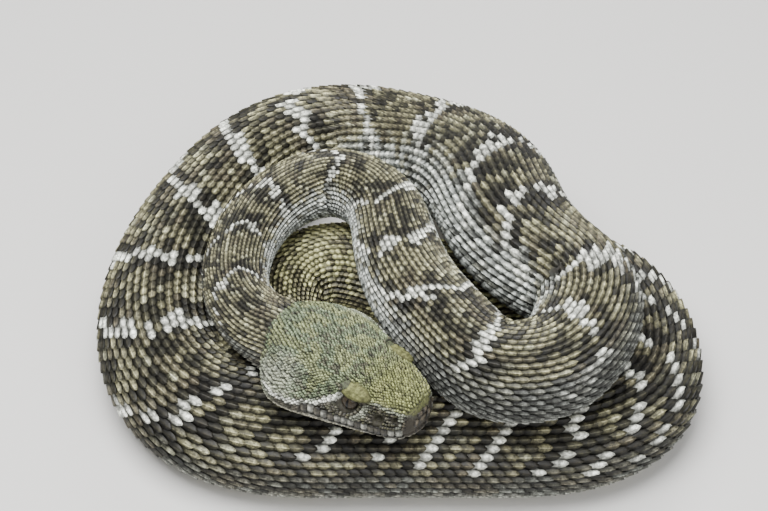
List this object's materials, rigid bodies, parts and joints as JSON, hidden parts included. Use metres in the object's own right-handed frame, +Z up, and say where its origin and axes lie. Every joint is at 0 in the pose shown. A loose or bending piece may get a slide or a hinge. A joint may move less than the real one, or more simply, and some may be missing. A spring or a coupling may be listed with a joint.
{
  "type": "western diamondback rattlesnake",
  "caption": "Heavy-bodied rattlesnake lying still in a loose coil, its broad head resting forward on its own body, its tail and rattle inside the coil.",
  "frame": {"origin": "on the floor, under the middle of the whole coil's box", "axes": "+X to the right of the view that the head faces, +Y to the back of the coil, +Z up; the head faces -Y and +X"},
  "size_m": [0.2171, 0.2054, 0.0778],
  "materials": {
    "body_scales": "dry keeled scales, satin",
    "head_scales": "fine dry scales, satin",
    "jaw_scales": "smooth lip scales, satin",
    "tail_scales": "dry keeled scales, satin",
    "eye_surface": "clear fixed scale over the eye, wet gloss",
    "rattle_keratin": "horn, satin"
  },
  "bodies": {
    "root": {"head": "head_scales", "lower_jaw": "jaw_scales", "eye_left": "eye_surface", "eye_right": "eye_surface", "neck": "body_scales", "torso_1": "body_scales", "torso_2": "body_scales", "torso_3": "body_scales", "torso_4": "body_scales", "torso_5": "body_scales", "torso_6": "body_scales", "torso_7": "body_scales", "torso_8": "body_scales", "torso_9": "body_scales", "tail": "tail_scales", "rattle": "rattle_keratin"}
  },
  "joints": []
}
